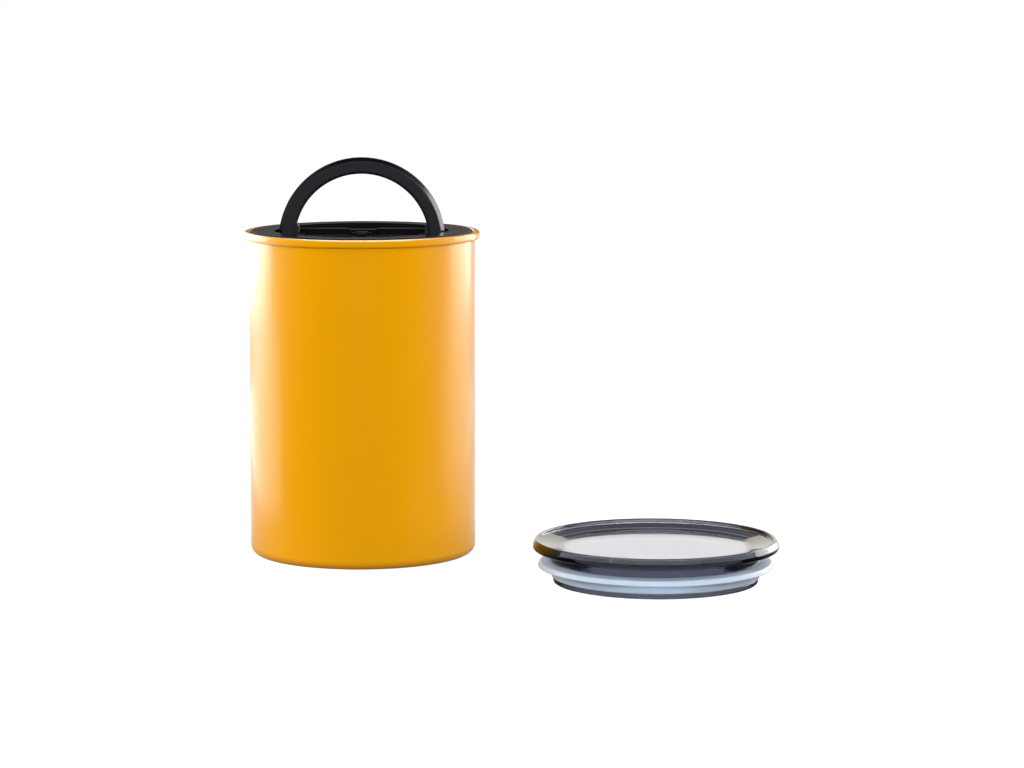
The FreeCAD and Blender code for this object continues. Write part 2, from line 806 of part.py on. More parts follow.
def valve_plug():
    """Silicone plug with a bevelled lower edge that closes on the seat."""
    hole = s.tip_radius + s.press_clearance
    return turned_body(
        "valve_plug",
        [
            (hole, plug_under),
            (s.plug_radius - s.plug_bevel, plug_under),
            (s.plug_radius, plug_under + s.plug_bevel),
            (s.plug_radius, plug_top),
            (hole, plug_top),
        ],
    )


def plug_clip():
    """Push-on clip that holds the plug on the stem's tip."""
    hole = s.tip_radius + s.press_clearance
    return turned_body(
        "plug_clip",
        [
            (hole, clip_under),
            (s.clip_radius, clip_under),
            (s.clip_radius, plug_under),
            (hole, plug_under),
        ],
    )


# Loose outer lid, lying to the right and in front of the canister
outer_lid_place = {"x": s.loose_lid_right, "y": -s.loose_lid_forward}
outer_rim_radius = rim_radius + s.outer_rim_overhang
outer_neck_radius = mouth_radius - s.neck_inset
outer_groove_radius = outer_neck_radius - s.groove_depth
outer_foot_radius = outer_neck_radius - s.foot_flange_inset
outer_bore = outer_groove_radius - s.neck_wall
outer_groove_top = s.foot_flange_height + s.groove_height
outer_rim_under = outer_groove_top + s.neck_height
outer_rim_top = outer_rim_under + s.outer_rim_height
outer_flap_radius = mouth_radius + s.outer_flap_squeeze


def outer_lid_shell():
    """Clear lid: rounded bead, stepped ledge, dish, neck, gasket groove and foot flange, open underneath."""
    panel_top = outer_rim_top - s.dish_depth
    panel_under = panel_top - s.panel_thickness
    rim_bore = outer_rim_radius - s.outer_rim_width
    ledge_top = outer_rim_top - s.outer_rim_step
    dish_radius = rim_bore - s.dish_slope
    return turned_body(
        "outer_lid_shell",
        [
            (ZERO, panel_under),
            (outer_bore, panel_under, s.dish_round),
            (outer_bore, ZERO),
            (outer_foot_radius, ZERO, s.foot_round),
            (outer_foot_radius, s.foot_flange_height, s.foot_round),
            (outer_groove_radius, s.foot_flange_height),
            (outer_groove_radius, outer_groove_top),
            (outer_neck_radius, outer_groove_top),
            (outer_neck_radius, outer_rim_under),
            (outer_rim_radius, outer_rim_under, s.outer_rim_under_round),
            (outer_rim_radius, outer_rim_top, s.outer_rim_round),
            (rim_bore, outer_rim_top, s.outer_rim_inner_round),
            (rim_bore, ledge_top, s.outer_step_round),
            (dish_radius, panel_top, s.dish_round),
            (ZERO, panel_top),
        ],
        **outer_lid_place,
    )


def outer_lid_gasket():
    """Silicone band in the neck's groove, with one flap that stands out and turns down at its edge."""
    inner = outer_groove_radius + s.outer_gasket_gap
    band = outer_neck_radius - s.foot_flange_inset + s.outer_band_proud
    low = s.foot_flange_height + s.outer_gasket_gap
    high = outer_groove_top - s.outer_gasket_gap
    bend = outer_flap_radius - s.outer_flap_lean
    bend_top = high - s.outer_flap_fall
    tip_low = high - s.outer_flap_drop
    return turned_body(
        "outer_lid_gasket",
        [
            (inner, low),
            (band, low, s.outer_band_round),
            (band, high - s.outer_flap_root, s.outer_band_round),
            (bend - s.outer_flap_wall, bend_top - s.outer_flap_wall, s.outer_flap_hollow),
            (outer_flap_radius - s.outer_flap_tip, tip_low, s.outer_flap_round),
            (outer_flap_radius, tip_low, s.outer_flap_round),
            (bend, bend_top, s.outer_flap_bend),
            (band, high, s.outer_band_round),
            (inner, high),
        ],
        **outer_lid_place,
    )


def build():
    """All the sub-parts, in the order in which they go together."""
    return [
        canister_shell(),
        lid_top(),
        deck_plate(),
        bottom_cover(),
        wiper_gasket(),
        cover_screws(),
        bearing_block("bearing_left", LEFT),
        bearing_block("bearing_right", RIGHT),
        screws("bearing_screws", bearing_places, floor_under, s.lid_wall + s.small_screw_grip),
        screws("deck_screws", deck_places, floor_under, s.lid_wall + s.small_screw_grip),
        stem_bush(),
        handle(),
        half_shaft("shaft_left", LEFT),
        half_shaft("shaft_right", RIGHT),
        crank_pin(),
        valve_stem(),
        valve_plug(),
        plug_clip(),
        outer_lid_shell(),
        outer_lid_gasket(),
    ]


def write(bodies):
    """Check every object of the document, then write each sub-part to its own file."""
    doc.recompute()
    for item in doc.Objects:
        if {"Invalid", "Error"} & set(item.State):
            raise RuntimeError(f"{item.Label} failed: {item.State}")
    for body in bodies:
        if body.Shape.isNull() or not body.Shape.isValid():
            raise RuntimeError(f"{body.Label} has no valid shape")
    os.makedirs("parts", exist_ok=True)
    for body in bodies:
        body.Shape.exportStep(f"parts/{body.Label}.step")


write(build())
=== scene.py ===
import logging
import math
from dataclasses import dataclass, field, replace
from enum import Enum

import bmesh
import bpy
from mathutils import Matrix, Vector


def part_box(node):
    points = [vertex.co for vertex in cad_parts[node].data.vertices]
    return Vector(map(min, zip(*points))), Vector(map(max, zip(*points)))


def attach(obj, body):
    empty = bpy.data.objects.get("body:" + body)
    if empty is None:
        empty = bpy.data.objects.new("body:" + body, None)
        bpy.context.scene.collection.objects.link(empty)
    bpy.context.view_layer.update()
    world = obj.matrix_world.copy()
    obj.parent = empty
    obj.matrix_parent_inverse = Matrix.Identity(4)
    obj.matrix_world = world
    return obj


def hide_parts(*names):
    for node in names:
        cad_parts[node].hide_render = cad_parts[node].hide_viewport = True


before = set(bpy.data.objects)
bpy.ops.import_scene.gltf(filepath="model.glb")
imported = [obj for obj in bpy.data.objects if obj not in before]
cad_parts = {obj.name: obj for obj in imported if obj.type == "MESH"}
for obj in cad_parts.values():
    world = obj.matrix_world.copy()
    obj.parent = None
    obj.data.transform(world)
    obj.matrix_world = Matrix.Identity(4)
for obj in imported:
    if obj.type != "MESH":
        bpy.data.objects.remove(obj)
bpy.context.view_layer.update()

# Coffee canister with a plunger lid, a crank-driven vent valve and a loose outer lid.
# The classes hold sizes in millimetres; the meshes are in metres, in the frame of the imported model.
MM = 0.001
# Points closer than this, in metres, are one point, and points this near in height are level.
MERGE_DISTANCE = 1e-6
LEVEL_DISTANCE = 1e-7
# Decimal places of a screw's place in metres, which tell apart a hundredth of a millimetre.
PLACE_DIGITS = 5
# Steps of a rounded corner of an outline, and the turn past which an edge stays sharp.
ROUND_STEPS = 8
SHARP_DEGREES = 32
# Most values of a noise texture lie in this span, about its middle.
NOISE_SPAN = (0.3, 0.7)
NOISE_MIDDLE = 0.5
PATCH_DETAIL = 2.0
# The normal's upright share is 0 on a wall and 1 on a flat top, and folds back at the middle of a
# rounded edge.
EDGE_FOLD = 0.5
EDGE_LEAN = (0.05, 0.25)
# Pieces that some of the lights reach or spare.
CAN = "canister_can"
CLEAR_LID = "outer_lid_clear"
FLAP_GASKET = "outer_lid_flap_gasket"
OUTER_LID_PIECES = (CLEAR_LID, FLAP_GASKET)
LID_MOULDINGS = ("lid_top", "deck_plate", "bearing_left", "bearing_right")
LOG = logging.getLogger("canister")

Corner = tuple[float, ...]


def linear(code: str) -> tuple[float, float, float, float]:
    """Turn an sRGB hex colour into linear light.

    Args:
        code: The colour, such as "#ECA000".

    Returns:
        Red, green, blue and an alpha of 1.
    """
    shares = [int(code[start:start + 2], 16) / 255 for start in (1, 3, 5)]
    red, green, blue = (c / 12.92 if c <= 0.04045 else ((c + 0.055) / 1.055) ** 2.4 for c in shares)
    return red, green, blue, 1.0


def add(
    tree: bpy.types.NodeTree,
    kind: str,
    settings: dict | None = None,
    links: dict | None = None,
) -> bpy.types.Node:
    """Add one node with its settings and links.

    Args:
        tree: The node tree.
        kind: The node's type name.
        settings: Values by socket name or number, or by the name of a property of the node.
        links: Output sockets by the name or number of the input that they feed.

    Returns:
        The new node.
    """
    node = tree.nodes.new(kind)
    for key, value in (settings or {}).items():
        if isinstance(key, int) or key in node.inputs:
            node.inputs[key].default_value = value
        else:
            setattr(node, key, value)
    for key, output in (links or {}).items():
        tree.links.new(output, node.inputs[key])
    return node


class Grain(Enum):
    """How a surface was made.

    Each value is the share of the fine pattern's scale that is kept along the sides, and the
    pattern's detail.
    """

    SPRAYED = (1.0, 1.0)
    ERODED = (1.0, 4.0)
    BRUSHED = (0.02, 3.0)
    MOULDED = (1.0, 2.0)


@dataclass(frozen=True)
class Polish:
    """Where a textured piece turns smooth: past a distance from an axis, over a fade, in millimetres."""

    middle: tuple[float, float, float]
    across: tuple[float, float, float]
    start: float
    rough: float
    fade: float = 0.2

    def mask(self, tree: bpy.types.NodeTree, place: bpy.types.NodeSocket) -> bpy.types.NodeSocket:
        """Measure the distance from the axis.

        Args:
            tree: The material's node tree.
            place: The object coordinates.

        Returns:
            The output that is 0 on the textured part and 1 on the smooth part.
        """
        shift = [-part * share * MM for part, share in zip(self.middle, self.across)]
        flat = add(tree, "ShaderNodeMapping", {"Location": shift, "Scale": self.across}, {"Vector": place})
        reach = add(tree, "ShaderNodeVectorMath", {"operation": "LENGTH"}, {0: flat.outputs["Vector"]})
        step = add(
            tree,
            "ShaderNodeMapRange",
            {"From Min": self.start * MM, "From Max": (self.start + self.fade) * MM},
            {"Value": reach.outputs["Value"]},
        )
        return step.outputs["Result"]


@dataclass(frozen=True)
class Finish:
    """One real material: its colours, gloss and relief, with pattern sizes in millimetres."""

    name: str
    base: str
    tone: str
    tone_mm: float
    rough: tuple[float, float]
    grain: Grain
    grain_mm: float
    relief_mm: float
    shader: dict = field(default_factory=dict)
    absorbs: str | None = None
    density: float = 0.0
    polish: Polish | None = None
    edge_shine: float = 0.0

    def material(self) -> bpy.types.Material:
        """Build this finish as a node material.

        Returns:
            The material, made on the first call and found again later.
        """
        found = bpy.data.materials.get(self.name)
        if found:
            return found
        material = bpy.data.materials.new(self.name)
        material.use_nodes = True
        tree = material.node_tree
        tree.nodes.clear()
        along, detail = self.grain.value
        spots = add(tree, "ShaderNodeTexCoord")
        place = spots.outputs["Object"]
        patches = add(
            tree,
            "ShaderNodeTexNoise",
            {"Scale": 1 / (self.tone_mm * MM), "Detail": PATCH_DETAIL},
            {"Vector": place},
        )
        colour = add(
            tree,
            "ShaderNodeMix",
            {"data_type": "RGBA", 6: linear(self.base), 7: linear(self.tone)},
            {0: patches.outputs["Fac"]},
        )
        drawn = add(tree, "ShaderNodeMapping", {"Scale": (along, along, 1.0)}, {"Vector": place})
        grain = add(
            tree,
            "ShaderNodeTexNoise",
            {"Scale": 1 / (self.grain_mm * MM), "Detail": detail},
            {"Vector": drawn.outputs["Vector"]},
        )
        gloss = add(
            tree,
            "ShaderNodeMapRange",
            {
                "From Min": NOISE_SPAN[0],
                "From Max": NOISE_SPAN[1],
                "To Min": self.rough[0],
                "To Max": self.rough[1],
            },
            {"Value": grain.outputs["Fac"]},
        )
        height = grain.outputs["Fac"]
        rough = gloss.outputs["Result"]
        if self.polish:
            smooth = self.polish.mask(tree, place)
            height = add(tree, "ShaderNodeMix", {3: NOISE_MIDDLE}, {0: smooth, 2: height}).outputs[0]
            rough = add(tree, "ShaderNodeMix", {3: self.polish.rough}, {0: smooth, 2: rough}).outputs[0]
        relief = add(
            tree,
            "ShaderNodeBump",
            {"Strength": 1.0, "Distance": self.relief_mm * MM},
            {"Height": height},
        )
        surface = add(
            tree,
            "ShaderNodeBsdfPrincipled",
            self.shader,
            {
                "Base Color": colour.outputs[2],
                "Roughness": rough,
                "Normal": relief.outputs["Normal"],
            },
        )
        output = add(tree, "ShaderNodeOutputMaterial", {}, {"Surface": surface.outputs["BSDF"]})
        if self.edge_shine:
            turn = add(tree, "ShaderNodeSeparateXYZ", {}, {0: spots.outputs["Normal"]})
            lean = add(
                tree,
                "ShaderNodeMath",
                {"operation": "PINGPONG", 1: EDGE_FOLD},
                {0: turn.outputs["Z"]},
            )
            worn = add(
                tree,
                "ShaderNodeMapRange",
                {"From Min": EDGE_LEAN[0], "From Max": EDGE_LEAN[1], "To Max": self.edge_shine},
                {"Value": lean.outputs[0]},
            )
            tree.links.new(worn.outputs["Result"], surface.inputs["Coat Weight"])
        if self.absorbs:
            depth = add(
                tree,
                "ShaderNodeVolumeAbsorption",
                {"Color": linear(self.absorbs), "Density": self.density},
            )
            tree.links.new(depth.outputs["Volume"], output.inputs["Volume"])
        return material


# Sprayed and baked: one strong colour with a satin gloss, and a faint orange peel about 1.5 mm across.
POWDER_COAT = Finish(
    name="Satin polyester powder coat",
    base="#EFA400",
    tone="#EBA000",
    tone_mm=60.0,
    rough=(0.20, 0.26),
    grain=Grain.SPRAYED,
    grain_mm=1.5,
    relief_mm=0.004,
)
# Drawn sheet, brushed round the can: a soft grey sheen with fine rings, drawn at 0.5 mm to show.
BRUSHED_STEEL = Finish(
    name="Brushed stainless steel",
    base="#B4B2AE",
    tone="#A5A39F",
    tone_mm=25.0,
    rough=(0.50, 0.62),
    grain=Grain.BRUSHED,
    grain_mm=0.5,
    relief_mm=0.006,
    shader={"Metallic": 1.0},
)
# Moulded in a spark-eroded tool: deep black with a dull, finely pitted skin, drawn at 0.5 mm to show.
BLACK_ABS = Finish(
    name="Spark-eroded black ABS",
    base="#0B0B0C",
    tone="#070708",
    tone_mm=9.0,
    rough=(0.50, 0.65),
    grain=Grain.ERODED,
    grain_mm=0.5,
    relief_mm=0.02,
    shader={"Specular IOR Level": 0.25},
)
# The upper moulding came from a polished tool: black and smooth, it mirrors the handle's legs softly.
SMOOTH_ABS = replace(
    BLACK_ABS,
    name="Smooth black ABS",
    rough=(0.13, 0.19),
    grain=Grain.MOULDED,
    grain_mm=1.2,
    relief_mm=0.002,
    shader={},
)
# The deck and the bearing blocks have a dead matt skin, worn smoother along the rounded edges,
# which catch the light.
WORN_ABS = replace(
    BLACK_ABS,
    name="Matt black ABS with worn edges",
    base="#161517",
    tone="#101011",
    shader={"Specular IOR Level": 0.0, "Coat Roughness": 0.4, "Coat IOR": 1.8},
    edge_shine=1.0,
)
# The handle's face is pitted and a little greyer, and its bevelled edge smooth, so that a light
# band runs round it.
GRIP_ABS = replace(
    BLACK_ABS,
    name="Spark-eroded black ABS with a smooth bevel",
    base="#121114",
    tone="#060607",
    tone_mm=0.9,
    shader={},
    polish=Polish(middle=(0.0, 1.8, 169.5), across=(1.0, 0.0, 1.0), start=43.1, rough=0.26),
)
# Moulded in a plain steel tool: black with a waxy, even sheen.
BLACK_ACETAL = Finish(
    name="Moulded black acetal",
    base="#0B0B0C",
    tone="#080809",
    tone_mm=6.0,
    rough=(0.26, 0.34),
    grain=Grain.MOULDED,
    grain_mm=0.9,
    relief_mm=0.006,
    shader={"Specular IOR Level": 0.12},
)
# Moulded rubber: matt black with a dusty look and hardly any highlight.
BLACK_SILICONE = Finish(
    name="Moulded black silicone",
    base="#1B1B1C",
    tone="#141415",
    tone_mm=5.0,
    rough=(0.55, 0.72),
    grain=Grain.MOULDED,
    grain_mm=0.6,
    relief_mm=0.008,
)
# Plated wire and screws: a light bluish grey metal with slightly cloudy patches.
ZINC_STEEL = Finish(
    name="Zinc-plated steel",
    base="#B3B6BA",
    tone="#9DA0A4",
    tone_mm=1.5,
    rough=(0.25, 0.40),
    grain=Grain.MOULDED,
    grain_mm=0.4,
    relief_mm=0.004,
    shader={"Metallic": 1.0},
)
# Polished clear moulding: thin walls look pale, and thick rims a dark blue grey.
SMOKE_CLEAR = Finish(
    name="Smoke clear copolyester",
    base="#FFFFFF",
    tone="#F6F7FA",
    tone_mm=20.0,
    rough=(0.02, 0.04),
    grain=Grain.MOULDED,
    grain_mm=6.0,
    relief_mm=0.004,
    shader={"Transmission Weight": 1.0, "IOR": 1.52},
    absorbs="#9DA2B4",
    density=600.0,
)
# Moulded translucent rubber: pale milky blue that light soaks into, with a soft satin skin.
MILKY_SILICONE = Finish(
    name="Milky translucent silicone",
    base="#C2CEDB",
    tone="#B8C5D3",
    tone_mm=8.0,
    rough=(0.34, 0.44),
    grain=Grain.MOULDED,
    grain_mm=0.8,
    relief_mm=0.006,
    shader={
        "Subsurface Weight": 0.5,
        "Subsurface Radius": (1.0, 1.1, 1.3),
        "Subsurface Scale": 0.003,
        "Transmission Weight": 0.12,
        "IOR": 1.41,
    },
)


@dataclass
class Assembly:
    """One sub-assembly: the body that it rides on and the finishes of the CAD nodes that stay in view."""

    body: str
    kept: dict[str, Finish] = field(default_factory=dict)

    def dress(self) -> list[str]:
        """Give every CAD node that stays its finish.

        Returns:
            The names of the nodes.
        """
        for node, finish in self.kept.items():
            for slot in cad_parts[node].material_slots:
                slot.material = finish.material()
        return list(self.kept)

    def draw(self, shape: bmesh.types.BMesh, corners: list[Corner]) -> None:
        """Draw a closed outline as wire in the XZ plane, with rounded corners.

        Args:
            shape: The mesh to draw in.
            corners: Corners of (radius, height), or (radius, height, rounding), in millimetres.
        """
        spots = [Vector((corner[0] * MM, 0.0, corner[1] * MM)) for corner in corners]
        points = [shape.verts.new(spot) for spot in spots]
        for start, end in zip(points, points[1:] + points[:1]):
            if start.co.x > 0 or end.co.x > 0:
                shape.edges.new((start, end))
        for i, corner in enumerate(corners):
            if len(corner) < 3:
                continue
            back = spots[i - 1] - spots[i]
            ahead = spots[(i + 1) % len(spots)] - spots[i]
            bmesh.ops.bevel(
                shape,
                geom=[points[i]],
                offset=corner[2] * MM / math.tan(back.angle(ahead) / 2),
                offset_type="OFFSET",
                segments=ROUND_STEPS,
                profile=0.5,
                affect="VERTICES",
                clamp_overlap=False,
                material=-1,
            )

    def turned(self, corners: list[Corner], steps: int = 224) -> bmesh.types.BMesh:
        """Turn an outline about the upright axis into a closed shape.

        Args:
            corners: Corners of (radius, height), or (radius, height, rounding), in millimetres.
            steps: Number of steps of the full turn.

        Returns:
            The closed mesh, its faces pointing outwards.
        """
        shape = bmesh.new()
        self.draw(shape, corners)
        bmesh.ops.spin(
            shape,
            geom=[*shape.verts, *shape.edges],
            axis=(0, 0, 1),
            cent=(0, 0, 0),
            angle=math.tau,
            steps=steps,
            use_merge=True,
        )
        bmesh.ops.remove_doubles(shape, verts=shape.verts, dist=MERGE_DISTANCE)
        bmesh.ops.recalc_face_normals(shape, faces=shape.faces)
        return shape

    def piece(
        self,
        name: str,
        shape: bmesh.types.BMesh,
        finishes: list[Finish],
        slot: str,
        stands_for: str,
    ) -> str:
        """Make an object of a mesh, dress it and put it on this assembly's body.

        Args:
            name: The piece's name.
            shape: Its mesh, which is freed.
            finishes: The finishes, in the order of the faces' material numbers.
            slot: The record's material slot for the piece, which is not used.
            stands_for: The CAD node that it replaces.

        Returns:
            The piece's name.
        """
        mesh = bpy.data.meshes.new(name)
        for face in shape.faces:
            face.smooth = True
        shape.to_mesh(mesh)
        shape.free()
        mesh.set_sharp_from_angle(angle=math.radians(SHARP_DEGREES))
        for finish in finishes:
            mesh.materials.append(finish.material())
        thing = bpy.data.objects.new(name, mesh)
        bpy.context.scene.collection.objects.link(thing)
        normals = thing.modifiers.new("Weighted normals", "WEIGHTED_NORMAL")
        normals.keep_sharp = True
        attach(thing, self.body)
        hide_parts(stands_for)
        return name


@dataclass
class Canister(Assembly):
    """The coated steel can with its rolled rim and stamped base."""

    body: str = "canister"
    radius: float = 61.0
    height: float = 175.2
    gauge: float = 0.6
    curl_width: float = 3.1
    curl_height: float = 4.4
    curl_gap: float = 0.5
    curl_round: float = 1.426
    corner: float = 5.0
    panel_radius: float = 51.0
    foot_radius: float = 53.0
    panel_rise: float = 1.0
    panel_round: float = 1.2
    upward_share: float = 0.02

    def shell(self) -> str:
        """Build the can as one sheet, coated outside and over the rim, and bare inside.

        Returns:
            The piece's name.
        """
        mouth = self.radius - self.gauge
        rim = mouth + self.curl_width
        low = self.height - self.curl_height
        tight = self.curl_round - self.gauge
        sheet_rim = rim - self.gauge
        sheet_top = self.height - self.gauge
        end = self.radius + self.curl_gap
        inside = self.panel_rise + self.gauge
        shape = self.turned(
            [
                (0, self.panel_rise),
                (self.panel_radius, self.panel_rise, self.panel_round),
                (self.foot_radius, 0, self.panel_round),
                (self.radius, 0, self.corner),
                (self.radius, sheet_top, tight),
                (sheet_rim, sheet_top, tight),
                (sheet_rim, low + self.gauge, tight),
                (end, low + self.gauge),
                (end, low),
                (rim, low, self.curl_round),
                (rim, self.height, self.curl_round),
                (mouth, self.height, self.curl_round),
                (mouth, self.gauge, self.corner - self.gauge),
                (self.foot_radius, self.gauge, self.panel_round),
                (self.panel_radius, inside, self.panel_round),
                (0, inside),
            ]
        )
        wall = (self.radius + mouth) / 2 * MM
        for face in shape.faces:
            middle = face.calc_center_median()
            inside_can = middle.z > self.corner * MM or face.normal.z > self.upward_share
            face.material_index = 1 if inside_can and middle.xy.length < wall else 0
        finishes = [POWDER_COAT, BRUSHED_STEEL]
        return self.piece(CAN, shape, finishes, "coated_steel", "canister_shell")

    def build(self) -> list[str]:
        """Build the can and list its pieces."""
        return [self.shell()]


@dataclass
class PlungerLid(Assembly):
    """The plunger lid: mouldings, bearing blocks, wiper gasket and the screws that hold them."""

    body: str = "plunger_lid"
    kept: dict[str, Finish] = field(
        default_factory=lambda: {
            "lid_top": SMOOTH_ABS,
            "deck_plate": WORN_ABS,
            "bottom_cover": BLACK_ABS,
            "bearing_left": WORN_ABS,
            "bearing_right": WORN_ABS,
            "stem_bush": BLACK_ACETAL,
        }
    )
    screw_radius: float = 1.2
    screw_steps: int = 32
    tip_round: float = 0.4
    head_radius: float = 2.4
    head_height: float = 1.6
    head_round: float = 1.0
    cross_reach: float = 1.3
    cross_width: float = 0.55
    cross_depth: float = 0.9
    cross_margin: float = 0.35
    cut_slack: float = 0.05
    cover_screw_count: int = 6
    cover_thickness: float = 3.0
    web_inner: float = 56.1
    web_outer: float = 57.9
    web_height: float = 2.2
    notch_wall: float = 1.2
    lip_width: float = 0.7
    lip_round: float = 0.3

    def wiper(self) -> str:
        """Build the wiper gasket: a clamped web with one lip turned up and one turned down.

        Returns:
            The piece's name.
        """
        low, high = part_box("wiper_gasket")
        cover_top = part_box("bottom_cover")[0].z / MM + self.cover_thickness
        skirt_under = cover_top + self.web_height
        wipe = high.x / MM
        root = self.web_outer
        bottom = low.z / MM
        top = high.z / MM
        shape = self.turned(
            [
                (self.web_inner, cover_top),
                (root, cover_top),
                (wipe - self.lip_width, bottom, self.lip_round),
                (wipe, bottom, self.lip_round),
                (root + self.notch_wall, (cover_top + skirt_under) / 2, self.lip_round),
                (wipe, top, self.lip_round),
                (wipe - self.lip_width, top, self.lip_round),
                (root, skirt_under),
                (self.web_inner, skirt_under),
            ]
        )
        return self.piece("wiper_gasket_ring", shape, [BLACK_SILICONE], "black_silicone", "wiper_gasket")

    def screw(self, length: float) -> bmesh.types.BMesh:
        """Build one pan-head screw with a cross recess, its seat at the origin and its head below.

        Args:
            length: The shank's length in millimetres.

        Returns:
            The screw's mesh.
        """
        flat = self.cross_reach + self.cross_margin
        shape = self.turned(
            [
                (0, length),
                (self.screw_radius, length, self.tip_round),
                (self.screw_radius, 0),
                (self.head_radius, 0),
                (self.head_radius, -self.head_height, self.head_round),
                (flat, -self.head_height),
                (0, -self.head_height),
            ],
            steps=self.screw_steps,
        )
        under = -self.head_height * MM
        inner = (flat - self.cut_slack) * MM
        end = [v for v in shape.verts if abs(v.co.z - under) < LEVEL_DISTANCE]
        disc = [v for v in end if v.co.xy.length < inner]
        bmesh.ops.delete(shape, geom=disc, context="VERTS")
        rim = [e for e in shape.edges if e.is_boundary]
        reach = self.cross_reach * MM
        half = self.cross_width * MM / 2
        arm = [(reach, -half), (reach, half), (half, half)]
        turns = [(1, 0), (0, 1), (-1, 0), (0, -1)]
        cross = [
            shape.verts.new((x * c - y * s, x * s + y * c, under))
            for c, s in turns
            for x, y in arm
        ]
        edges = [shape.edges.new(pair) for pair in zip(cross, cross[1:] + cross[:1])]
        bmesh.ops.bridge_loops(shape, edges=rim + edges)
        walls = bmesh.ops.extrude_edge_only(shape, edges=edges)["geom"]
        floor = [part for part in walls if isinstance(part, bmesh.types.BMVert)]
        bmesh.ops.translate(shape, verts=floor, vec=(0, 0, self.cross_depth * MM))
        floor_edges = [part for part in walls if isinstance(part, bmesh.types.BMEdge)]
        bmesh.ops.contextual_create(shape, geom=floor_edges)
        bmesh.ops.recalc_face_normals(shape, faces=shape.faces)
        return shape

    def screws(self, node: str, places: list[tuple[float, float]]) -> str:
        """Build a group of screws in the place of a CAD node.

        Args:
            node: The CAD node of the group.
            places: The screws' places in metres.

        Returns:
            The piece's name.
        """
        low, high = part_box(node)
        seat = low.z + self.head_height * MM
        shape = self.screw((high.z - seat) / MM)
        first = list(shape.verts) + list(shape.edges) + list(shape.faces)
        for x, y in places[1:]:
            copy = bmesh.ops.duplicate(shape, geom=first)["geom"]
            verts = [part for part in copy if isinstance(part, bmesh.types.BMVert)]
            bmesh.ops.translate(shape, verts=verts, vec=(x, y, seat))
        verts = [part for part in first if isinstance(part, bmesh.types.BMVert)]
        bmesh.ops.translate(shape, verts=verts, vec=(*places[0], seat))
        return self.piece(f"{node}_set", shape, [ZINC_STEEL], "screw_steel", node)

    def corners(self, node: str) -> list[tuple[float, float]]:
        """Find the places of screws at the corners of a CAD group, inset by a head's radius.

        Args:
            node: The CAD node of the group.

        Returns:
            The places in metres.
        """
        low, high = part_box(node)
        inset = self.head_radius * MM
        across = (low.x + inset, high.x - inset)
        along = sorted({round(low.y + inset, PLACE_DIGITS), round(high.y - inset, PLACE_DIGITS)})
        return [(x, y) for x in across for y in along]

    def ring(self, node: str, count: int) -> list[tuple[float, float]]:
        """Find the places of screws spread evenly on a circle, the first one to the right.

        Args:
            node: The CAD node of the group.
            count: The number of screws.

        Returns:
            The places in metres.
        """
        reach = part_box(node)[1].x - self.head_radius * MM
        turns = [math.tau * i / count for i in range(count)]
        return [(reach * math.cos(turn), reach * math.sin(turn)) for turn in turns]

    def build(self) -> list[str]:
        """Build the gasket and the screws, and dress the mouldings.

        Returns:
            The names of the pieces.
        """
        return [
            self.wiper(),
            self.screws("cover_screws", self.ring("cover_screws", self.cover_screw_count)),
            self.screws("bearing_screws", self.corners("bearing_screws")),
            self.screws("deck_screws", self.corners("deck_screws")),
            *self.dress(),
        ]


@dataclass
class Handle(Assembly):
    """The half-ring handle, its keyed shafts and the crank pin."""

    body: str = "handle"
    kept: dict[str, Finish] = field(
        default_factory=lambda: {
            "handle": GRIP_ABS,
            "shaft_left": BLACK_ACETAL,
            "shaft_right": BLACK_ACETAL,
            "crank_pin": ZINC_STEEL,
        }
    )

    def build(self) -> list[str]:
        """Dress the handle's pieces and list them."""
        return self.dress()


@dataclass
class Valve(Assembly):
    """The valve's stem with its yoke, the plug and the clip under it."""

    body: str = "valve"
    kept: dict[str, Finish] = field(
        default_factory=lambda: {
            "valve_stem": BLACK_ACETAL,
            "valve_plug": BLACK_SILICONE,
            "plug_clip": ZINC_STEEL,
        }
    )

    def build(self) -> list[str]:
        """Dress the valve's pieces and list them."""
        return self.dress()


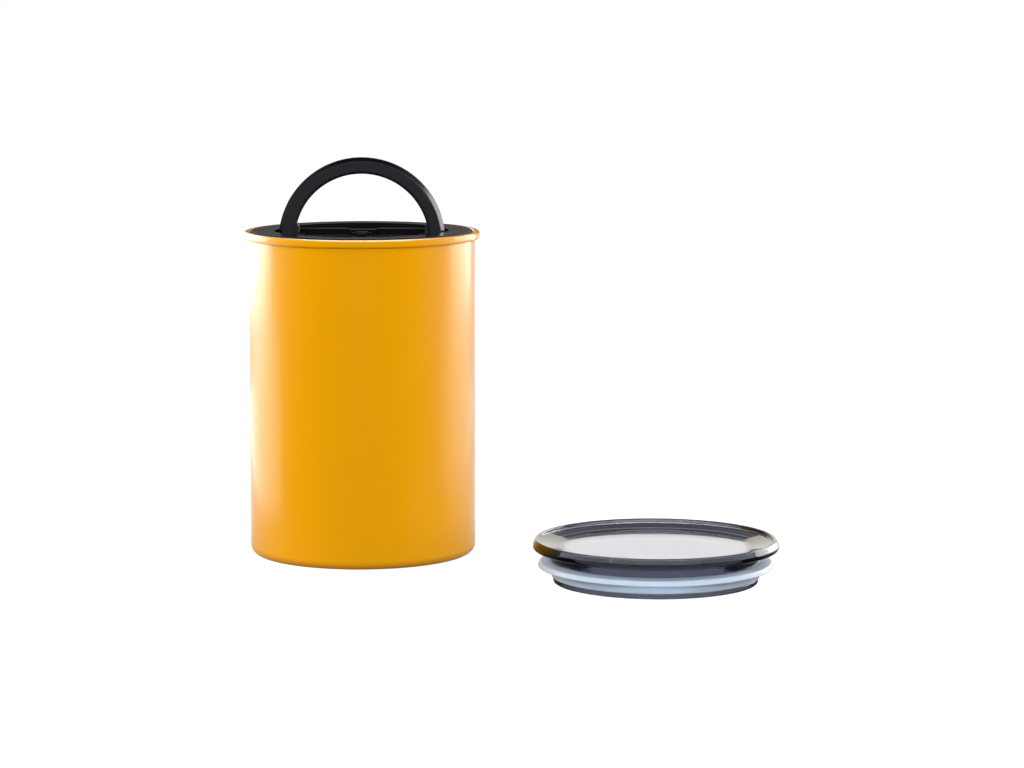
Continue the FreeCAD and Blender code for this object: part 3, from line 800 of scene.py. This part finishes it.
@dataclass
class OuterLid(Assembly):
    """The loose clear lid and its flap gasket, lying beside the canister."""

    body: str = "outer_lid"
    rim_radius: float = 63.9
    rim_top: float = 22.4
    rim_under: float = 17.0
    bead_width: float = 3.2
    bead_step: float = 1.7
    dish_radius: float = 49.9
    panel_top: float = 18.2
    panel_under: float = 16.2
    neck_radius: float = 55.0
    groove_radius: float = 51.4
    groove_top: float = 11.4
    foot_radius: float = 53.2
    foot_height: float = 2.7
    bore_radius: float = 49.4
    edge_round: float = 0.3
    foot_round: float = 0.6
    neck_round: float = 0.8
    rim_under_round: float = 1.3
    slant_drop: float = 2.9
    slant_run: float = 1.3
    slant_low_round: float = 1.2
    slant_high_round: float = 0.9
    bead_round: float = 0.8
    step_round: float = 0.6
    dish_round: float = 2.0
    gasket_gap: float = 0.1
    band_radius: float = 54.1
    band_round: float = 0.6
    band_top_round: float = 0.5
    flap_radius: float = 61.2
    flap_root: float = 1.8
    flap_hollow: float = 1.9
    flap_hollow_round: float = 0.8
    flap_edge: float = 0.9
    flap_edge_round: float = 0.3
    flap_drop: float = 3.2
    flap_lean: float = 0.8
    flap_fall: float = 0.5
    flap_bend_round: float = 1.2

    def centre(self) -> Vector:
        """The middle of the lid on the table, in metres."""
        low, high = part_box("outer_lid_shell")
        return Vector(((low.x + high.x) / 2, (low.y + high.y) / 2, 0.0))

    def shell(self) -> str:
        """Build the clear lid: slanted bead, stepped ledge, dish, neck, gasket groove and foot flange.

        Returns:
            The piece's name.
        """
        edge = self.edge_round
        bead = self.rim_radius - self.bead_width
        shape = self.turned(
            [
                (0, self.panel_under),
                (self.bore_radius, self.panel_under, self.dish_round),
                (self.bore_radius, 0, edge),
                (self.foot_radius, 0, self.foot_round),
                (self.foot_radius, self.foot_height, self.foot_round),
                (self.groove_radius, self.foot_height, edge),
                (self.groove_radius, self.groove_top, edge),
                (self.neck_radius, self.groove_top, edge),
                (self.neck_radius, self.rim_under, self.neck_round),
                (self.rim_radius, self.rim_under, self.rim_under_round),
                (self.rim_radius, self.rim_top - self.slant_drop, self.slant_low_round),
                (self.rim_radius - self.slant_run, self.rim_top, self.slant_high_round),
                (bead, self.rim_top, self.bead_round),
                (bead, self.rim_top - self.bead_step, self.step_round),
                (self.dish_radius, self.panel_top, self.dish_round),
                (0, self.panel_top),
            ]
        )
        bmesh.ops.translate(shape, verts=shape.verts, vec=self.centre())
        return self.piece(CLEAR_LID, shape, [SMOKE_CLEAR], "smoke_plastic", "outer_lid_shell")

    def gasket(self) -> str:
        """Build the gasket: a band in the groove, with one flap that stands out and turns down.

        Returns:
            The piece's name.
        """
        inner = self.groove_radius + self.gasket_gap
        low = self.foot_height + self.gasket_gap
        high = self.groove_top - self.gasket_gap
        tip = self.flap_radius
        shape = self.turned(
            [
                (inner, low),
                (self.band_radius, low, self.band_round),
                (self.band_radius, high - self.flap_root, self.band_round),
                (tip - self.flap_hollow, high - self.flap_hollow, self.flap_hollow_round),
                (tip - self.flap_edge, high - self.flap_drop, self.flap_edge_round),
                (tip, high - self.flap_drop, self.flap_edge_round),
                (tip - self.flap_lean, high - self.flap_fall, self.flap_bend_round),
                (self.band_radius, high, self.band_top_round),
                (inner, high),
            ]
        )
        bmesh.ops.translate(shape, verts=shape.verts, vec=self.centre())
        return self.piece(FLAP_GASKET, shape, [MILKY_SILICONE], "milky_silicone", "outer_lid_gasket")

    def build(self) -> list[str]:
        """Build the lid and its gasket and list them."""
        return [self.shell(), self.gasket()]


class Reach(Enum):
    """What a light does with the pieces that it names."""

    INCLUDE = "INCLUDE"
    EXCLUDE = "EXCLUDE"


@dataclass(frozen=True)
class Softbox:
    """One rectangular studio light: its place, aim and size in metres, and how bright its face looks.

    It lights everything, or only the pieces named, or spares the pieces named. It does so in gloss,
    on matt surfaces or both.
    """

    name: str
    place: tuple[float, float, float]
    aim: tuple[float, float, float]
    size: tuple[float, float]
    radiance: float
    pieces: tuple[str, ...] = ()
    reach: Reach = Reach.INCLUDE
    tint: str = "#FFFFFF"
    gloss: bool = True
    matt: bool = True

    def hang(self) -> None:
        """Hang the light in the scene, out of the camera's sight."""
        lamp = bpy.data.lights.new(self.name, "AREA")
        lamp.shape = "RECTANGLE"
        lamp.size, lamp.size_y = self.size
        lamp.energy = self.radiance * math.pi * self.size[0] * self.size[1]
        lamp.color = linear(self.tint)[:3]
        thing = bpy.data.objects.new(self.name, lamp)
        way = Vector(self.aim) - Vector(self.place)
        thing.location = self.place
        thing.rotation_euler = way.to_track_quat("-Z", "Y").to_euler()
        thing.visible_camera = False
        thing.visible_glossy = self.gloss
        thing.visible_diffuse = self.matt
        bpy.context.scene.collection.objects.link(thing)
        if self.pieces:
            lit = bpy.data.collections.new(f"Lit by the {self.name}")
            for piece in self.pieces:
                lit.objects.link(bpy.data.objects[piece])
            for member in lit.collection_objects:
                member.light_linking.link_state = self.reach.value
            thing.light_linking.receiver_collection = lit


@dataclass
class Studio:
    """White surroundings, a pale floor, soft lights and the camera of the photograph."""

    ambient: float = 0.3
    seen_front: float = 0.02
    seen_low: float = 0.05
    seen_high: float = 0.3
    floor_glow: float = 0.93
    # Seen through glass the floor glows dimmer than to the camera: painted shade for the smoky lid's
    # shadow on the floor under it.
    through_glass_glow_painted_shade: float = 0.42
    floor_shade: float = 0.30
    floor_albedo: float = 0.15
    floor_reach: tuple[float, float, float] = (3.0, -0.56, 4.0)
    softboxes: tuple[Softbox, ...] = (
        Softbox(
            "left softbox",
            (-0.985, 0.848, 0.44),
            (0.0, 0.0, 0.12),
            (1.6, 0.9),
            9.0,
            (CLEAR_LID, "handle", *LID_MOULDINGS),
            Reach.EXCLUDE,
            matt=False,
        ),
        Softbox(
            "right softbox",
            (1.08, 0.72, 0.44),
            (0.0, 0.0, 0.12),
            (1.1, 0.9),
            5.6,
            LID_MOULDINGS,
            Reach.EXCLUDE,
            matt=False,
        ),
        Softbox(
            "over card",
            (0.1, -1.2, 1.05),
            (0.1, 0.0, 0.1),
            (2.4, 1.3),
            2.6,
            (CAN,),
            Reach.EXCLUDE,
            tint="#E9E8FB",
            matt=False,
        ),
        Softbox(
            "left over card",
            (-1.6, -0.45, 1.05),
            (0.16, -0.09, 0.02),
            (2.0, 1.2),
            2.4,
            OUTER_LID_PIECES,
            tint="#DDE5FF",
            matt=False,
        ),
        Softbox(
            "right over card",
            (1.9, -0.45, 1.05),
            (0.16, -0.09, 0.02),
            (2.0, 1.2),
            2.4,
            OUTER_LID_PIECES,
            tint="#DDE5FF",
            matt=False,
        ),
        Softbox("overhead card", (0.0, 0.0, 1.5), (0.0, 0.0, 0.0), (1.6, 1.6), 12.0, (CAN,), matt=False),
        Softbox("front fill", (0.0, -1.6, 0.5), (0.0, 0.0, 0.1), (1.2, 0.6), 8.4, gloss=False),
        Softbox("rear fill", (0.0, 1.6, 0.5), (0.0, 0.0, 0.1), (1.2, 0.6), 8.4, gloss=False),
        Softbox("left fill", (-1.3, 0.0, 0.4), (0.0, 0.0, 0.1), (1.0, 0.9), 5.2, gloss=False),
        Softbox("right fill", (1.3, 0.0, 0.4), (0.0, 0.0, 0.1), (1.0, 0.9), 4.4, gloss=False),
        Softbox("left card", (-0.65, 0.28, 0.002), (-0.65, 0.28, 1.0), (0.9, 0.65), 1.7, matt=False),
        Softbox("right card", (0.68, 0.28, 0.002), (0.68, 0.28, 1.0), (0.8, 0.65), 0.7, matt=False),
        Softbox("right strip", (1.2, 0.23, 0.45), (0.03, 0.0, 0.19), (0.35, 1.0), 6.0, ("handle",)),
        Softbox(
            "back panel",
            (0.25, 0.5, 0.11),
            (0.16, -0.09, 0.02),
            (1.2, 0.22),
            1.15,
            OUTER_LID_PIECES,
            tint="#FFF9EC",
        ),
        Softbox(
            "front card",
            (0.16, -0.33, 0.002),
            (0.16, -0.33, 1.0),
            (0.9, 0.37),
            1.0,
            OUTER_LID_PIECES,
            tint="#DDE9FF",
        ),
    )
    camera_mm: tuple[float, float, float] = (80.91, -1869.7, 331.34)
    camera_pitch: float = 7.3025
    camera_lens: float = 122.34
    sensor_width: float = 36.0
    clip_end: float = 100.0
    world_depth: tuple[float, float] = (-0.25, 0.15)
    world_rise: tuple[float, float] = (0.07, 0.16)
    world_top: tuple[float, float] = (0.72, 0.92)
    sky_rise: float = 0.4
    floor_depth: tuple[float, float] = (-0.15, 0.15)

    def surroundings(self) -> None:
        """White for the camera and through glass; in gloss pale behind and dark in front and overhead."""
        world = bpy.data.worlds.new("White studio")
        world.cycles.sampling_method = "NONE"
        world.use_nodes = True
        tree = world.node_tree
        tree.nodes.clear()
        ray = add(tree, "ShaderNodeLightPath")
        way = add(tree, "ShaderNodeTexCoord")
        split = add(tree, "ShaderNodeSeparateXYZ", {}, {0: way.outputs["Generated"]})
        depth = add(
            tree,
            "ShaderNodeMapRange",
            {
                "interpolation_type": "SMOOTHSTEP",
                "From Min": self.world_depth[0],
                "From Max": self.world_depth[1],
            },
            {"Value": split.outputs["Y"]},
        )
        rise = add(
            tree,
            "ShaderNodeMapRange",
            {
                "interpolation_type": "SMOOTHSTEP",
                "From Min": self.world_rise[0],
                "From Max": self.world_rise[1],
                "To Min": self.seen_low,
                "To Max": self.seen_high,
            },
            {"Value": split.outputs["Z"]},
        )
        top = add(
            tree,
            "ShaderNodeMapRange",
            {
                "interpolation_type": "SMOOTHSTEP",
                "From Min": self.world_top[0],
                "From Max": self.world_top[1],
            },
            {"Value": split.outputs["Z"]},
        )
        behind = add(
            tree,
            "ShaderNodeMix",
            {2: self.seen_front},
            {0: depth.outputs["Result"], 3: rise.outputs["Result"]},
        )
        dome = add(
            tree,
            "ShaderNodeMix",
            {3: self.seen_front},
            {0: top.outputs["Result"], 2: behind.outputs[0]},
        )
        sky = add(
            tree,
            "ShaderNodeMapRange",
            {"interpolation_type": "SMOOTHSTEP", "From Max": self.sky_rise, "To Max": self.ambient},
            {"Value": split.outputs["Z"]},
        )
        dim = add(
            tree,
            "ShaderNodeMix",
            {},
            {0: ray.outputs["Is Glossy Ray"], 2: sky.outputs["Result"], 3: dome.outputs[0]},
        )
        clear = add(
            tree,
            "ShaderNodeMath",
            {"operation": "MAXIMUM"},
            {0: ray.outputs["Is Camera Ray"], 1: ray.outputs["Is Transmission Ray"]},
        )
        level = add(tree, "ShaderNodeMix", {3: 1.0}, {0: clear.outputs[0], 2: dim.outputs[0]})
        light = add(
            tree,
            "ShaderNodeBackground",
            {"Color": (1.0, 1.0, 1.0, 1.0)},
            {"Strength": level.outputs[0]},
        )
        add(tree, "ShaderNodeOutputWorld", {}, {"Surface": light.outputs["Background"]})
        bpy.context.scene.world = world

    def floor(self) -> None:
        """A pale floor that looks white to the camera and keeps the shadow. Seen through glass it glows
        dimmer, which is painted shade for the smoky lid's shadow on it.

        Gloss shows it white behind the object and dark in front.
        """
        side, front, back = self.floor_reach
        shape = bmesh.new()
        bmesh.ops.create_grid(shape, x_segments=1, y_segments=1, size=1.0)
        bmesh.ops.scale(shape, vec=(side, (back - front) / 2, 1.0), verts=shape.verts)
        bmesh.ops.translate(shape, vec=(0, (back + front) / 2, 0), verts=shape.verts)
        mesh = bpy.data.meshes.new("Pale floor")
        shape.to_mesh(mesh)
        shape.free()
        material = bpy.data.materials.new("Pale floor")
        material.use_nodes = True
        material.cycles.emission_sampling = "NONE"
        tree = material.node_tree
        tree.nodes.clear()
        ray = add(tree, "ShaderNodeLightPath")
        place = add(tree, "ShaderNodeTexCoord")
        split = add(tree, "ShaderNodeSeparateXYZ", {}, {0: place.outputs["Object"]})
        depth = add(
            tree,
            "ShaderNodeMapRange",
            {
                "interpolation_type": "SMOOTHSTEP",
                "From Min": self.floor_depth[0],
                "From Max": self.floor_depth[1],
                "To Min": self.seen_front,
                "To Max": 1.0,
            },
            {"Value": split.outputs["Y"]},
        )
        seen = add(
            tree,
            "ShaderNodeMath",
            {"operation": "MAXIMUM"},
            {0: ray.outputs["Is Camera Ray"], 1: ray.outputs["Is Transmission Ray"]},
        )
        plain = add(tree, "ShaderNodeBsdfDiffuse", {"Color": (*[self.floor_albedo] * 3, 1.0)})
        shade = add(tree, "ShaderNodeBsdfDiffuse", {"Color": (*[self.floor_shade] * 3, 1.0)})
        # Through glass the glow is lower, which is painted shade for the lid's shadow. The camera sees the
        # full glow.
        level = add(
            tree,
            "ShaderNodeMapRange",
            {"To Min": self.through_glass_glow_painted_shade, "To Max": self.floor_glow},
            {"Value": ray.outputs["Is Camera Ray"]},
        )
        glow = add(tree, "ShaderNodeEmission", {}, {"Strength": level.outputs["Result"]})
        white = add(tree, "ShaderNodeAddShader", {}, {0: shade.outputs[0], 1: glow.outputs[0]})
        mirror = add(tree, "ShaderNodeEmission", {}, {"Strength": depth.outputs["Result"]})
        hidden = add(
            tree,
            "ShaderNodeMixShader",
            {},
            {0: ray.outputs["Is Glossy Ray"], 1: plain.outputs[0], 2: mirror.outputs[0]},
        )
        look = add(
            tree,
            "ShaderNodeMixShader",
            {},
            {0: seen.outputs[0], 1: hidden.outputs[0], 2: white.outputs[0]},
        )
        add(tree, "ShaderNodeOutputMaterial", {}, {"Surface": look.outputs[0]})
        mesh.materials.append(material)
        thing = bpy.data.objects.new("Pale floor", mesh)
        bpy.context.scene.collection.objects.link(thing)

    def camera(self) -> None:
        """Put the camera where the photograph was taken from."""
        data = bpy.data.cameras.new("Camera")
        data.sensor_fit = "HORIZONTAL"
        data.sensor_width = self.sensor_width
        data.lens = self.camera_lens
        data.clip_end = self.clip_end
        thing = bpy.data.objects.new("Camera", data)
        thing.location = [part * MM for part in self.camera_mm]
        thing.rotation_euler = (math.radians(90 - self.camera_pitch), 0.0, 0.0)
        bpy.context.scene.collection.objects.link(thing)
        bpy.context.scene.camera = thing

    def build(self) -> list[str]:
        """Set up the studio.

        Returns:
            The names of its lights.
        """
        bpy.context.scene.view_settings.view_transform = "Standard"
        self.surroundings()
        self.floor()
        self.camera()
        for softbox in self.softboxes:
            softbox.hang()
        return [softbox.name for softbox in self.softboxes]


def main() -> None:
    logging.basicConfig(level=logging.INFO, format="%(message)s")
    for part in (Canister(), PlungerLid(), Handle(), Valve(), OuterLid(), Studio()):
        for name in part.build():
            LOG.info("%s: %s", type(part).__name__, name)


if __name__ == "__main__":
    main()
